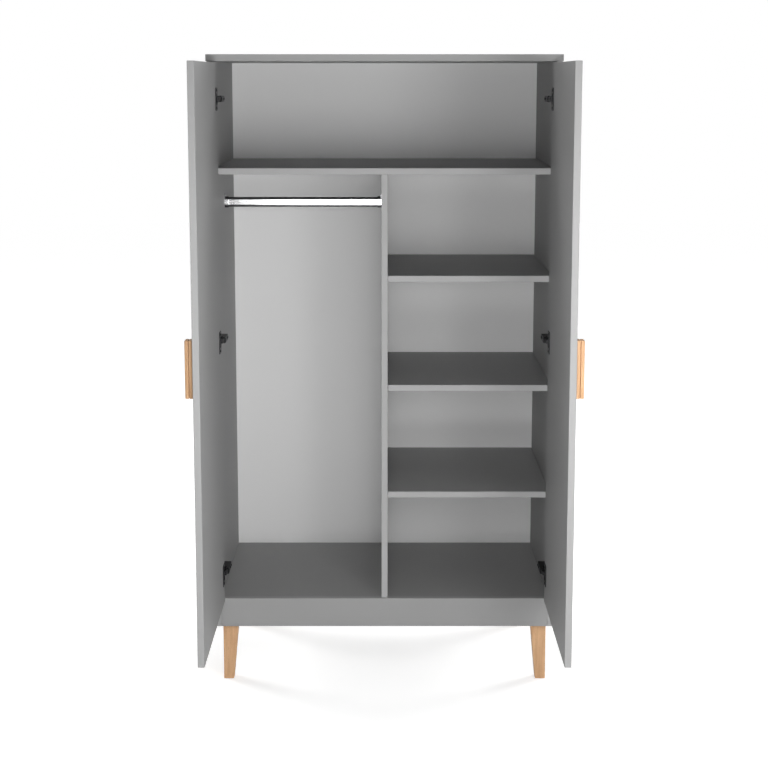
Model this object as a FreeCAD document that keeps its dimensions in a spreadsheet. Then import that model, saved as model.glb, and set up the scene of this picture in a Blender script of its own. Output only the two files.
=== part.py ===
"""A two-door wardrobe on four wooden legs, with its doors standing open.

The frame is in millimetres with +Z up and +Y into the wardrobe. The origin is on the floor, under the middle
of the wardrobe and its open doors.
"""

import FreeCAD, Part
import os
import re

SIZES = {
    # carcass boards
    "width": 1000,
    "height": 1847,
    "carcass_depth": 530,
    "board": 18,
    "top_thick": 19,
    "top_overhang": 23,
    "edge_round": 1,
    "top_bay": 300,
    "bottom_top": 260,
    "plinth_height": 86,
    "inner_setback": 6,
    "shelf_play": 1,
    # back panel
    "back_thick": 3,
    "back_rabbet": 9,
    "back_head_radius": 3.4,
    "back_head_rise": 1.6,
    "back_shank_radius": 1.5,
    "back_screw_length": 17,
    # dowels, cam fittings and shelf pins
    "dowel_radius": 4,
    "dowel_in_face": 12,
    "dowel_in_end": 23,
    "dowel_inset": 60,
    "cam_radius": 7.5,
    "cam_height": 12.5,
    "cam_setback": 34,
    "cam_inset": 130,
    "cam_bolt_radius": 3,
    "cam_bolt_in_face": 11,
    "shelf_pin_radius": 2.5,
    "shelf_pin_in": 8,
    "shelf_pin_out": 9,
    "shelf_pin_inset": 50,
    # legs
    "leg_top": 51,
    "leg_foot": 30,
    "leg_gap": 1.5,
    "leg_setback": 9.5,
    "leg_round": 1.5,
    "leg_plate_lap": 21,
    "leg_plate_thick": 3,
    "leg_bolt_radius": 4,
    "leg_bolt_down": 32,
    "leg_bolt_up": 11,
    "leg_screw_inset": 10,
    "leg_screw_length": 14,
    "leg_screw_radius": 2,
    "leg_head_radius": 4,
    "leg_head_rise": 2,
    # hanging rail
    "rail_radius": 7.5,
    "rail_flat": 15,
    "rail_wall": 1.2,
    "rail_drop": 99,
    "rail_depth": 263,
    "support_wall": 2,
    "support_floor": 2,
    "support_length": 12,
    "support_tab": 11,
    # doors and handles
    "door_width": 497,
    "door_thick": 18,
    "door_top_gap": 4.4,
    "door_lap": 4.5,
    "door_overlay": 16.5,
    "door_gap": 2,
    "hinge_gap": 8,
    "open_inset": 12,
    "handle_length": 150.5,
    "handle_width": 30,
    "handle_rise": 20.5,
    "handle_height": 1045.6,
    "handle_inset": 9,
    "handle_chamfer": 1,
    "handle_groove": 2.2,
    "handle_groove_depth": 6,
    "handle_screw_pitch": 96,
    "handle_screw_radius": 2,
    "handle_head_radius": 3.8,
    "handle_head_rise": 2.4,
    "handle_bite": 9,
    # cup hinges
    "hinge_foot": 87.5,
    "hinge_pitch": 690,
    "hinge_shelf_rise": 132,
    "hinge_head": 100.6,
    "cup_radius": 17.5,
    "cup_depth": 13.8,
    "cup_wall": 1.2,
    "cup_floor": 0.8,
    "cup_edge": 5,
    "cup_rim": 1.5,
    "flange_thick": 1.6,
    "flange_height": 64,
    "flange_width": 34,
    "cup_screw_pitch": 48,
    "cup_screw_offset": 7,
    "pin_radius": 1.6,
    "pin_fit": 0.05,
    "pin_depth": 5.5,
    "cup_pin_play": 0.12,
    "link_reach": 27,
    "link_lift": 0.6,
    "link_half": 5.5,
    "link_bar": 1.8,
    "link_cup_eye": 3,
    "link_arm_eye": 3.4,
    "link_clear": 1,
    "link_eye_clear": 2,
    "plate_thick": 2.5,
    "plate_wing": 18,
    "plate_height": 50,
    "plate_inset": 37,
    "plate_screw_pitch": 32,
    "block_rise": 12,
    "block_front": 24,
    "block_play": 0.4,
    "arm_play": 1.1,
    "arm_steel": 1.5,
    "arm_length": 68,
    "arm_nose": 20,
    "arm_crown": 4.4,
    "arm_neck": 15,
    "arm_screw_end": 10,
    "arm_screw_pitch": 20,
    "arm_screw_bite": 5,
    # pan-head screws that show
    "pan_head_radius": 3.5,
    "pan_head_rise": 1.8,
    "pan_shank_radius": 1.75,
    "pan_length": 11,
    "recess_depth": 1,
    "recess_width": 0.9,
    "recess_span": 4,
    # how far a cut runs past the face it starts from
    "overrun": 1,
}

# Shares of a board's length at which its back panel screws stand
BACK_SCREW_SHARES = (0.06, 0.35, 0.65, 0.94)
# Shares of half the inner width at which the plinth's dowels stand
PLINTH_DOWEL_SHARES = (-0.6, 0, 0.6)
# Shares of the height between the bottom and the top shelf at which the upper and lower shelves' tops lie
UPPER_SHELF_SHARE = 0.768
LOWER_SHELF_SHARE = 0.2584

# Planes that many pieces share, written in the sizes above
SIDE = "(width / 2 - board)"
FRONT = "((hinge_gap + door_width - carcass_depth) / 2)"
REAR = f"({FRONT} + carcass_depth)"
BACK = f"({REAR} - back_thick)"
INNER_FRONT = f"({FRONT} + inner_setback)"
UNDER_TOP = "(height - top_thick)"
UNDER_BOTTOM = "(bottom_top - board)"
PLINTH_BOTTOM = "(bottom_top - plinth_height)"
TOP_SHELF = f"({UNDER_TOP} - top_bay)"
UNDER_SHELF = f"({TOP_SHELF} - board)"
RAIL_HEIGHT = f"({UNDER_SHELF} - rail_drop)"
BACK_EDGE = f"({SIDE} + back_rabbet)"
LEG_OUT = f"({SIDE} - leg_gap)"
LEG_FRONT = f"({FRONT} + board + leg_setback)"
LEG_HEIGHT = f"({UNDER_BOTTOM} - leg_plate_thick)"
LEG_MIDDLE = f"({FRONT} + (carcass_depth - back_thick) / 2)"
LEG_PLATE = "(leg_top + leg_plate_lap)"

# Faces of the right door as it stands open
DOOR_IN = f"({SIDE} - open_inset)"
DOOR_OUT = f"({DOOR_IN} + door_thick)"
DOOR_EDGE = f"({FRONT} - hinge_gap)"
DOOR_BOTTOM = "(bottom_top - door_lap)"
DOOR_TOP = f"({UNDER_TOP} - door_top_gap)"

# Cups and their pins, measured from the door's hinge edge
CUP_INSET = "(cup_edge + cup_radius)"
PIN_INSET = "(cup_edge + cup_wall + link_cup_eye + link_eye_clear)"
PIN_OFFSET = f"({CUP_INSET} - {PIN_INSET} + pin_radius)"
CUP_PIN_HALF = f"(sqrt(cup_radius * cup_radius - {PIN_OFFSET} * {PIN_OFFSET}) - cup_pin_play)"

# The link's fixed pivot lies as far from the cup pin of the shut door as from that of the open door
CHORD_IN = f"(open_inset - pin_depth + door_overlay - {PIN_INSET})"
CHORD_OUT = f"(hinge_gap + {PIN_INSET} - door_gap - pin_depth)"
CHORD = f"sqrt({CHORD_IN} * {CHORD_IN} + {CHORD_OUT} * {CHORD_OUT})"
MIDWAY_IN = f"((open_inset - pin_depth + {PIN_INSET} - door_overlay) / 2)"
MIDWAY_OUT = f"((door_gap + pin_depth + hinge_gap + {PIN_INSET}) / 2)"
PIVOT_IN = f"({MIDWAY_IN} + link_reach * {CHORD_OUT} / {CHORD})"
PIVOT_BACK = f"(link_reach * {CHORD_IN} / {CHORD} - {MIDWAY_OUT})"
PIVOT_X = f"({SIDE} - {PIVOT_IN})"
PIVOT_Y = f"({FRONT} + {PIVOT_BACK})"
CUP_PIN_X = f"({DOOR_IN} + pin_depth)"
CUP_PIN_Y = f"({DOOR_EDGE} - {PIN_INSET})"
CUP_Y = f"({DOOR_EDGE} - {CUP_INSET})"

# Heights of the hinges, and the tops of the loose shelves, of which the middle one keeps clear of its hinge
LOW_HINGE = f"({DOOR_BOTTOM} + hinge_foot)"
MIDDLE_HINGE = f"({LOW_HINGE} + hinge_pitch)"
HIGH_HINGE = f"({DOOR_TOP} - hinge_head)"
HINGE_HEIGHTS = (LOW_HINGE, MIDDLE_HINGE, HIGH_HINGE)
SHELVES = {
    "shelf_upper": f"(bottom_top + {UPPER_SHELF_SHARE} * ({UNDER_SHELF} - bottom_top))",
    "shelf_middle": f"({MIDDLE_HINGE} - hinge_shelf_rise)",
    "shelf_lower": f"(bottom_top + {LOWER_SHELF_SHARE} * ({UNDER_SHELF} - bottom_top))",
}

# Turns that lay a rod, which starts upright, along an axis
TURNS = {
    "+x": ((0, 1, 0), 90),
    "-x": ((0, 1, 0), -90),
    "+y": ((1, 0, 0), -90),
    "-y": ((1, 0, 0), 90),
    "+z": ((0, 0, 1), 0),
}

doc = FreeCAD.newDocument("wardrobe")
sheet = doc.addObject("Spreadsheet::Sheet", "Sizes")
for row, (size_name, size) in enumerate(SIZES.items(), start=1):
    sheet.set(f"A{row}", size_name)
    sheet.set(f"B{row}", str(size))
    sheet.setAlias(f"B{row}", size_name)
doc.recompute()

SIZE_WORDS = re.compile(r"\b(" + "|".join(SIZES) + r")\b")
pieces = []


def bind(thing, **formulas):
    """Bind properties to formulas written in the names of the sizes."""
    for name, formula in formulas.items():
        thing.setExpression(name, SIZE_WORDS.sub(r"Sizes.\1", formula))
    return thing


def place(thing, at):
    """Bind the place of a solid."""
    for axis, formula in zip("xyz", at):
        thing.setExpression(f"Placement.Base.{axis}", SIZE_WORDS.sub(r"Sizes.\1", formula))
    return thing


def box(at, size):
    """A block with its low corner at a point."""
    block = bind(doc.addObject("Part::Box", "Block"), Length=size[0], Width=size[1], Height=size[2])
    return place(block, at)


def rod(at, along, radius, length):
    """A round bar that starts at a point and runs along an axis."""
    bar = bind(doc.addObject("Part::Cylinder", "Rod"), Radius=radius, Height=length)
    axis, angle = TURNS[along]
    bar.Placement = FreeCAD.Placement(FreeCAD.Vector(), FreeCAD.Rotation(FreeCAD.Vector(*axis), angle))
    return place(bar, at)


def fuse(*solids):
    """One solid out of several."""
    joined = doc.addObject("Part::MultiFuse", "Fuse")
    joined.Shapes = list(solids)
    return joined


def group(*solids):
    """Several separate solids kept as one thing."""
    together = doc.addObject("Part::Compound", "Group")
    together.Links = list(solids)
    return together


def cut(base, *tools):
    """A solid less its holes and recesses."""
    rest = doc.addObject("Part::Cut", "Cut")
    rest.Base = base
    rest.Tool = tools[0] if len(tools) == 1 else group(*tools)
    return rest


def mirrored(source, normal=(1, 0, 0), x="0", y="0"):
    """The same thing on the other side of an upright plane."""
    other = doc.addObject("Part::Mirroring", "Mirror")
    other.Source = source
    other.Normal = normal
    other.setExpression("Base.x", SIZE_WORDS.sub(r"Sizes.\1", x))
    other.setExpression("Base.y", SIZE_WORDS.sub(r"Sizes.\1", y))
    return other


def rounded(block, radius):
    """A block with all its edges rounded."""
    doc.recompute()
    soft = doc.addObject("Part::Fillet", "Round")
    soft.Base = block
    soft.Edges = [(number, radius, radius) for number in range(1, len(block.Shape.Edges) + 1)]
    return soft


def plank(at, size):
    """A board with its edge bands rounded over."""
    return rounded(box(at, size), SIZES["edge_round"])


def sunk_screw(at, along, head_radius, head_rise, shank_radius, length):
    """A screw whose head is flush with the face it goes into."""
    return fuse(rod(at, along, head_radius, head_rise), rod(at, along, shank_radius, length))


def pan_screw(x, y, z, length="pan_length"):
    """A screw driven along +X, with a cross recess in the head that stands on the face."""
    head = rod((f"{x} - pan_head_rise", y, z), "+x", "pan_head_radius", "pan_head_rise")
    shank = rod((x, y, z), "+x", "pan_shank_radius", length)
    start = f"{x} - pan_head_rise - overrun"
    reach = "recess_depth + overrun"
    slots = []
    for wide, high in (("recess_span", "recess_width"), ("recess_width", "recess_span")):
        slots.append(box((start, f"{y} - {wide} / 2", f"{z} - {high} / 2"), (reach, wide, high)))
    return cut(fuse(head, shank), fuse(*slots))


def piece(name, thing):
    """Name a finished sub-part."""
    thing.Label = name
    pieces.append(thing)
    return thing


# Dowels, across each joint of the carcass
depths = (f"{FRONT} + dowel_inset", f"{FRONT} + carcass_depth / 2", f"{REAR} - dowel_inset")
dowel_span = "dowel_in_face + dowel_in_end"
dowels = []
for y in depths:
    for x in ("width / 2 - board / 2", "board / 2 - width / 2"):
        dowels.append(rod((x, y, f"{UNDER_TOP} - dowel_in_end"), "+z", "dowel_radius", dowel_span))
    dowels.append(rod(("0", y, "bottom_top - dowel_in_face"), "+z", "dowel_radius", dowel_span))
    dowels.append(rod(("0", y, f"{UNDER_SHELF} - dowel_in_end"), "+z", "dowel_radius", dowel_span))
plinth_middle = f"({FRONT} + board / 2)"
plinth_rear_middle = f"({BACK} - board / 2)"
board_middles = (f"{TOP_SHELF} - board / 2", "bottom_top - board / 2")
end_joints = [(y, z) for y in (depths[0], depths[2]) for z in board_middles]
end_joints.append((plinth_middle, f"({PLINTH_BOTTOM} + bottom_top) / 2"))
end_joints.append((plinth_rear_middle, f"({PLINTH_BOTTOM} + {UNDER_BOTTOM}) / 2"))
for y, z in end_joints:
    right_dowel = rod((f"{SIDE} - dowel_in_end", y, z), "+x", "dowel_radius", dowel_span)
    dowels += [right_dowel, mirrored(right_dowel)]
for share in PLINTH_DOWEL_SHARES:
    x = f"{share} * {SIDE}"
    front_start = (x, f"{FRONT} + board - dowel_in_face", "bottom_top - board / 2")
    dowels.append(rod(front_start, "+y", "dowel_radius", dowel_span))
    rear_start = (x, plinth_rear_middle, f"{UNDER_BOTTOM} - dowel_in_end")
    dowels.append(rod(rear_start, "+z", "dowel_radius", dowel_span))
dowels = piece("wood_dowels", group(*dowels))

# Cam fittings, which draw the top shelf and the bottom against the sides
cam_locks, cam_bolts = [], []
for top in (TOP_SHELF, "bottom_top"):
    for y in (f"{FRONT} + cam_inset", f"{REAR} - cam_inset"):
        lock = rod((f"{SIDE} - cam_setback", y, f"{top} - board"), "+z", "cam_radius", "cam_height")
        bolt_start = (f"{SIDE} - cam_setback + cam_radius", y, f"{top} - board / 2")
        bolt = rod(bolt_start, "+x", "cam_bolt_radius", "cam_setback - cam_radius + cam_bolt_in_face")
        cam_locks += [lock, mirrored(lock)]
        cam_bolts += [bolt, mirrored(bolt)]
cam_locks = piece("cam_locks", group(*cam_locks))
cam_bolts = piece("cam_bolts", group(*cam_bolts))

# Shelf pins, pushed into the divider and the right side under the loose shelves
shelf_pins = []
for top in SHELVES.values():
    z = f"{top} - board - shelf_pin_radius"
    for y in (f"{INNER_FRONT} + shelf_pin_inset", f"{BACK} - shelf_pin_inset"):
        for x in ("board / 2 - shelf_pin_in", f"{SIDE} - shelf_pin_out"):
            shelf_pins.append(rod((x, y, z), "+x", "shelf_pin_radius", "shelf_pin_in + shelf_pin_out"))
shelf_pins = piece("shelf_pins", group(*shelf_pins))

# Back panel screws, flush in the sheets
back_places = []
lower_span = f"({UNDER_SHELF} - {UNDER_BOTTOM})"
for share in BACK_SCREW_SHARES:
    z = f"{UNDER_BOTTOM} + board + {share} * ({lower_span} - board)"
    back_places += [(f"{SIDE} + back_rabbet / 2", z), ("board / 4", z)]
    x = f"board / 2 + {share} * ({SIDE} - board / 2)"
    back_places += [(x, f"{UNDER_BOTTOM} + board / 2"), (x, f"{TOP_SHELF} - board * 3 / 4")]
    back_places += [(x, f"{TOP_SHELF} - board / 4")]
    back_places += [(f"{SIDE} + back_rabbet / 2", f"{TOP_SHELF} + {share} * top_bay")]
back_screws = []
for x, z in back_places:
    screw = sunk_screw(
        (x, REAR, z), "-y", "back_head_radius", "back_head_rise", "back_shank_radius", "back_screw_length")
    back_screws += [screw, mirrored(screw)]
back_screws = piece("back_panel_screws", group(*back_screws))

# Leg hardware: a plate under the bottom board, its screws and a hanger bolt into each leg
def at_four_corners(thing):
    """A thing made at the right front corner, and its three reflections."""
    left = mirrored(thing)
    rear = [mirrored(side, normal=(0, 1, 0), y=LEG_MIDDLE) for side in (thing, left)]
    return [thing, left, *rear]


leg_axis_x = f"({LEG_OUT} - leg_top / 2)"
leg_axis_y = f"({LEG_FRONT} + leg_top / 2)"
bolt_span = "leg_bolt_down + leg_plate_thick + leg_bolt_up"
leg_bolt = rod((leg_axis_x, leg_axis_y, f"{LEG_HEIGHT} - leg_bolt_down"), "+z", "leg_bolt_radius", bolt_span)
leg_bolts = piece("leg_bolts", group(*at_four_corners(leg_bolt)))
near, far = "leg_screw_inset", f"{LEG_PLATE} - leg_screw_inset"
leg_screws = []
for inward, back in ((far, near), (far, far), (near, far)):
    at = (f"{LEG_OUT} - ({inward})", f"{LEG_FRONT} + {back}", f"{LEG_HEIGHT} - leg_head_rise")
    shank_length = "leg_head_rise + leg_plate_thick + leg_screw_length"
    screw = sunk_screw(at, "+z", "leg_head_radius", "leg_head_rise", "leg_screw_radius", shank_length)
    leg_screws += at_four_corners(screw)
leg_screws = piece("leg_plate_screws", group(*leg_screws))
plate_at = (f"{LEG_OUT} - {LEG_PLATE}", LEG_FRONT, LEG_HEIGHT)
plates = at_four_corners(box(plate_at, (LEG_PLATE, LEG_PLATE, "leg_plate_thick")))
piece("leg_plates", cut(group(*plates), leg_bolts, leg_screws))

# Legs: square at the head, tapering to the foot on the two sides that face in
leg = doc.addObject("Part::Wedge", "Leg")
bind(leg, Xmin="leg_top - leg_foot", Xmax="leg_top", Zmin="leg_top - leg_foot", Zmax="leg_top")
bind(leg, X2min="0", X2max="leg_top", Z2min="0", Z2max="leg_top", Ymin="0", Ymax=LEG_HEIGHT)
leg.Placement = FreeCAD.Placement(FreeCAD.Vector(), FreeCAD.Rotation(FreeCAD.Vector(1, 0, 0), 90))
place(leg, (f"{LEG_OUT} - leg_top", f"{LEG_FRONT} + leg_top", "0"))
legs = at_four_corners(rounded(leg, SIZES["leg_round"]))
for name, corner in zip(("front_right", "front_left", "rear_right", "rear_left"), legs):
    piece(f"leg_{name}", cut(corner, leg_bolts))

# Hanging rail: an oval tube between the left side and the divider
def oval(x, radius, length):
    """An upright oval bar along the rail's line."""
    y = f"({FRONT} + rail_depth)"
    flat_at = (x, f"{y} - {radius}", f"{RAIL_HEIGHT} - rail_flat / 2")
    flat = box(flat_at, (length, f"2 * {radius}", "rail_flat"))
    ends = [rod((x, y, f"{RAIL_HEIGHT} {sign} rail_flat / 2"), "+x", radius, length) for sign in "+-"]
    return fuse(flat, *ends)


rail_start = f"(support_floor - {SIDE})"
rail_span = f"({SIDE} - board / 2 - 2 * support_floor)"
rail_bore = oval(rail_start, "(rail_radius - rail_wall)", rail_span)
piece("hanging_rail", cut(oval(rail_start, "rail_radius", rail_span), rail_bore))

# Rail supports: sockets with a screw tab above the rail
tab_top = "(rail_flat / 2 + rail_radius + support_tab)"
tab_screw_z = f"({RAIL_HEIGHT} + {tab_top} - support_tab / 2)"
socket_radius = "(rail_radius + support_wall)"
rail_y = f"({FRONT} + rail_depth)"
tab_at = (f"-{SIDE}", f"{rail_y} - {socket_radius}", RAIL_HEIGHT)
tab = box(tab_at, ("support_floor", f"2 * {socket_radius}", tab_top))
socket_hollow = oval(rail_start, "rail_radius", "support_length")
bay_middle = f"(-{SIDE} - board / 2) / 2"
tab_screw = pan_screw("(-board / 2 - support_floor)", rail_y, tab_screw_z)
rail_screws = piece("rail_support_screws", group(tab_screw, mirrored(tab_screw, x=bay_middle)))
support = cut(fuse(oval(f"-{SIDE}", socket_radius, "support_length"), tab), socket_hollow)
piece("rail_support_left", cut(support, rail_screws))
piece("rail_support_right", cut(mirrored(support, x=bay_middle), rail_screws))

# Hinge plates on the right side, three up the height, and their screws
plates, plate_screws, arms, arm_screws, arm_pins = [], [], [], [], []
plate_y = f"({FRONT} + plate_inset)"
crown = f"({PIVOT_IN} + arm_crown)"
inner_half = "(link_half + arm_play)"
channel_half = f"({inner_half} + arm_steel)"
block_half = f"({inner_half} - block_play)"
arm_screw_length = f"({crown} - block_rise + arm_screw_bite)"
for z in HINGE_HEIGHTS:
    wing_at = (f"{SIDE} - plate_thick", f"{plate_y} - plate_wing / 2", f"{z} - plate_height / 2")
    wing = box(wing_at, ("plate_thick", "plate_wing", "plate_height"))
    block_at = (f"{SIDE} - block_rise", f"{FRONT} + block_front", f"{z} - {block_half}")
    block = box(block_at, ("block_rise", "arm_length - block_front", f"2 * {block_half}"))
    plates.append(fuse(wing, block))
    for sign in "+-":
        screw_z = f"({z} {sign} plate_screw_pitch / 2)"
        plate_screws.append(pan_screw(f"({SIDE} - plate_thick)", plate_y, screw_z))
    # a steel channel over the block, with a nose that carries the link's pin
    body_at = (f"{SIDE} - {crown}", f"{FRONT} + arm_nose", f"{z} - {channel_half}")
    body = box(body_at, (f"{crown} - plate_thick", "arm_length - arm_nose", f"2 * {channel_half}"))
    neck_at = (f"{SIDE} - {crown}", PIVOT_Y, f"{z} - {channel_half}")
    neck = box(neck_at, (f"{crown} - arm_neck", f"arm_nose - {PIVOT_BACK}", f"2 * {channel_half}"))
    nose = rod((PIVOT_X, PIVOT_Y, f"{z} - {channel_half}"), "+z", "arm_crown", f"2 * {channel_half}")
    inside_at = (f"{SIDE} - {crown} + arm_steel", f"{FRONT} - overrun", f"{z} - {inner_half}")
    inside_size = (f"{crown} - arm_steel + overrun", "arm_length + 2 * overrun", f"2 * {inner_half}")
    inside = box(inside_at, inside_size)
    mouth_at = (f"{SIDE} - {crown} - overrun", f"{FRONT} - overrun", f"{z} - {inner_half}")
    mouth_back = f"({PIVOT_BACK} + link_arm_eye + link_clear + overrun)"
    mouth = box(mouth_at, (f"{crown} + overrun", mouth_back, f"2 * {inner_half}"))
    arms.append(cut(fuse(body, neck, nose), fuse(inside, mouth)))
    for y in ("arm_screw_end", "(arm_screw_end + arm_screw_pitch)"):
        screw_y = f"({FRONT} + arm_length - {y})"
        arm_screws.append(pan_screw(f"({SIDE} - {crown})", screw_y, z, arm_screw_length))
    pin_at = (PIVOT_X, PIVOT_Y, f"{z} - {channel_half} - link_clear")
    arm_pins.append(rod(pin_at, "+z", "pin_radius", f"2 * ({channel_half} + link_clear)"))
right_screws = group(*arm_screws)
right_pins = group(*arm_pins)
right_arms = cut(group(*arms), right_screws, right_pins)
right_plate_screws = group(*plate_screws)
right_plates = cut(group(*plates), right_plate_screws, right_screws)
hinge_plate_screws = piece("hinge_plate_screws", group(right_plate_screws, mirrored(right_plate_screws)))
piece("hinge_adjusting_screws", group(right_screws, mirrored(right_screws)))
piece("hinge_arm_pins", group(right_pins, mirrored(right_pins)))
piece("hinge_plates_right", right_plates)
piece("hinge_plates_left", mirrored(right_plates))
piece("hinge_arms_right", right_arms)
piece("hinge_arms_left", mirrored(right_arms))

# Links: arched castings that turn on the arm's pin and carry the cup's pin
def link_strip(start, end, low, tall):
    """A straight stretch of a link, between two points of its plan."""
    run_x = f"({end[0]} - {start[0]})"
    run_y = f"({end[1]} - {start[1]})"
    span = f"sqrt({run_x} * {run_x} + {run_y} * {run_y})"
    strip = bind(doc.addObject("Part::Box", "Strip"), Length="2 * link_bar", Width=span, Height=tall)
    corner_x = f"{start[0]} - link_bar * {run_y} / {span}"
    corner_y = f"{start[1]} + link_bar * {run_x} / {span}"
    strip.setExpression("Placement.Rotation.Angle", SIZE_WORDS.sub(r"Sizes.\1", f"atan2(-{run_x}; {run_y})"))
    return place(strip, (corner_x, corner_y, low))


links, cups, cup_bores, cup_screws, cup_pins = [], [], [], [], []
bend_in = "(open_inset + flange_thick + link_clear + link_bar)"
bend_x = f"({SIDE} - {bend_in})"
bend_y = f"({CUP_PIN_Y} + link_lift)"
for z in HINGE_HEIGHTS:
    low = f"({z} - link_half)"
    tall = "2 * link_half"
    cup_eye = rod((CUP_PIN_X, CUP_PIN_Y, low), "+z", "link_cup_eye", tall)
    arm_eye = rod((PIVOT_X, PIVOT_Y, low), "+z", "link_arm_eye", tall)
    bend = rod((bend_x, bend_y, low), "+z", "link_bar", tall)
    foot = link_strip((CUP_PIN_X, CUP_PIN_Y), (bend_x, bend_y), low, tall)
    shank = link_strip((bend_x, bend_y), (PIVOT_X, PIVOT_Y), low, tall)
    holes = [rod((x, y, f"{low} - overrun"), "+z", "pin_radius + pin_fit", f"{tall} + 2 * overrun")
             for x, y in ((CUP_PIN_X, CUP_PIN_Y), (PIVOT_X, PIVOT_Y))]
    links.append(cut(fuse(cup_eye, arm_eye, bend, foot, shank), *holes))
    # cup, flange and the pin across the cup
    cup_at = (DOOR_IN, CUP_Y, z)
    cup_bores.append(rod(cup_at, "+x", "cup_radius", "cup_depth"))
    flange_x = f"({DOOR_IN} - flange_thick)"
    rim = rod((flange_x, CUP_Y, z), "+x", "cup_radius + cup_rim", "flange_thick")
    wing_y = f"{CUP_Y} - cup_screw_offset - flange_width / 2"
    wing_at = (flange_x, wing_y, f"{z} - flange_height / 2")
    wing = box(wing_at, ("flange_thick", "flange_width", "flange_height"))
    hollow_at = (f"{flange_x} - overrun", CUP_Y, z)
    hollow = rod(hollow_at, "+x", "cup_radius - cup_wall", "flange_thick + overrun + cup_depth - cup_floor")
    pin_at = (CUP_PIN_X, CUP_PIN_Y, f"{z} - {CUP_PIN_HALF}")
    pin = rod(pin_at, "+z", "pin_radius", f"2 * {CUP_PIN_HALF}")
    cups.append(cut(fuse(rod(cup_at, "+x", "cup_radius", "cup_depth"), rim, wing), hollow, pin))
    cup_pins.append(pin)
    for sign in "+-":
        screw_z = f"({z} {sign} cup_screw_pitch / 2)"
        cup_screws.append(pan_screw(flange_x, f"({CUP_Y} - cup_screw_offset)", screw_z))
right_links = group(*links)
piece("hinge_links_right", right_links)
piece("hinge_links_left", mirrored(right_links))
right_pins = group(*cup_pins)
piece("hinge_cup_pins_right", right_pins)
piece("hinge_cup_pins_left", mirrored(right_pins))
right_cup_screws = group(*cup_screws)
piece("hinge_cup_screws_right", right_cup_screws)
piece("hinge_cup_screws_left", mirrored(right_cup_screws))
right_cups = cut(group(*cups), right_cup_screws)
piece("hinge_cups_right", right_cups)
piece("hinge_cups_left", mirrored(right_cups))

# Handle: a hardwood bar with a narrow groove along both long sides
handle_y = f"({DOOR_EDGE} - door_width + handle_inset)"
handle_low = "(handle_height - handle_length / 2)"
handle_block = box((DOOR_OUT, handle_y, handle_low), ("handle_rise", "handle_width", "handle_length"))
doc.recompute()
outer = handle_block.Shape.BoundBox.XMax - SIZES["edge_round"]
handle_edges = enumerate(handle_block.Shape.Edges, start=1)
outer_edges = [number for number, edge in handle_edges if edge.BoundBox.XMin > outer]
handle_bar = doc.addObject("Part::Chamfer", "HandleBar")
handle_bar.Base = handle_block
handle_bar.Edges = [(number, SIZES["handle_chamfer"], SIZES["handle_chamfer"]) for number in outer_edges]
groove_x = f"{DOOR_OUT} + handle_rise / 2 - handle_groove / 2"
groove_size = ("handle_groove", "handle_groove_depth + overrun", "handle_length + 2 * overrun")
grooves = [box((groove_x, y, f"{handle_low} - overrun"), groove_size)
           for y in (f"{handle_y} - overrun", f"{handle_y} + handle_width - handle_groove_depth")]
handle_screws = []
for sign in "+-":
    at = (DOOR_IN, f"{handle_y} + handle_width / 2", f"handle_height {sign} handle_screw_pitch / 2")
    bite = "door_thick + handle_bite"
    handle_screws.append(
        sunk_screw(at, "+x", "handle_head_radius", "handle_head_rise", "handle_screw_radius", bite))
right_handle_screws = group(*handle_screws)
piece("handle_screws_right", right_handle_screws)
piece("handle_screws_left", mirrored(right_handle_screws))
right_handle = cut(handle_bar, *grooves, right_handle_screws)
piece("handle_right", right_handle)
piece("handle_left", mirrored(right_handle))

# Doors, bored for the cups and drilled for the screws
door_at = (DOOR_IN, f"{DOOR_EDGE} - door_width", DOOR_BOTTOM)
door_blank = plank(door_at, ("door_thick", "door_width", f"{DOOR_TOP} - {DOOR_BOTTOM}"))
right_door = cut(door_blank, *cup_bores, right_cup_screws, right_handle_screws)
piece("door_right", right_door)
piece("door_left", mirrored(right_door))

# Carcass boards
top_at = ("-width / 2", f"{FRONT} - top_overhang", UNDER_TOP)
piece("top_panel", cut(plank(top_at, ("width", "top_overhang + carcass_depth", "top_thick")), dowels))
side_size = ("board", "carcass_depth", f"{UNDER_TOP} - {PLINTH_BOTTOM}")
rabbet_at = (SIDE, BACK, UNDER_BOTTOM)
rabbet = box(rabbet_at, ("back_rabbet", "back_thick + overrun", f"{UNDER_TOP} - {UNDER_BOTTOM} + overrun"))
side_right = plank((SIDE, FRONT, PLINTH_BOTTOM), side_size)
side_left = mirrored(side_right)
fittings = (dowels, cam_bolts, hinge_plate_screws, back_screws)
piece("side_panel_right", cut(side_right, rabbet, *fittings, shelf_pins))
piece("side_panel_left", cut(side_left, mirrored(rabbet), *fittings, rail_screws))
bottom_at = (f"-{SIDE}", f"{FRONT} + board", UNDER_BOTTOM)
bottom = plank(bottom_at, (f"2 * {SIDE}", f"{BACK} - {FRONT} - board", "board"))
piece("bottom_panel", cut(bottom, dowels, cam_bolts, cam_locks, leg_bolts, leg_screws, back_screws))
shelf_at = (f"-{SIDE}", INNER_FRONT, UNDER_SHELF)
top_shelf = plank(shelf_at, (f"2 * {SIDE}", f"{BACK} - {INNER_FRONT}", "board"))
piece("top_shelf", cut(top_shelf, dowels, cam_bolts, cam_locks, back_screws))
divider_at = ("-board / 2", INNER_FRONT, "bottom_top")
divider = plank(divider_at, ("board", f"{BACK} - {INNER_FRONT}", f"{UNDER_SHELF} - bottom_top"))
piece("divider", cut(divider, dowels, shelf_pins, rail_screws, back_screws))
for name, top in SHELVES.items():
    at = ("board / 2 + shelf_play", INNER_FRONT, f"{top} - board")
    shelf_width = f"{SIDE} - board / 2 - 2 * shelf_play"
    piece(name, plank(at, (shelf_width, f"{BACK} - {INNER_FRONT} - shelf_play", "board")))
plinth_at = (f"-{SIDE}", FRONT, PLINTH_BOTTOM)
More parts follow.
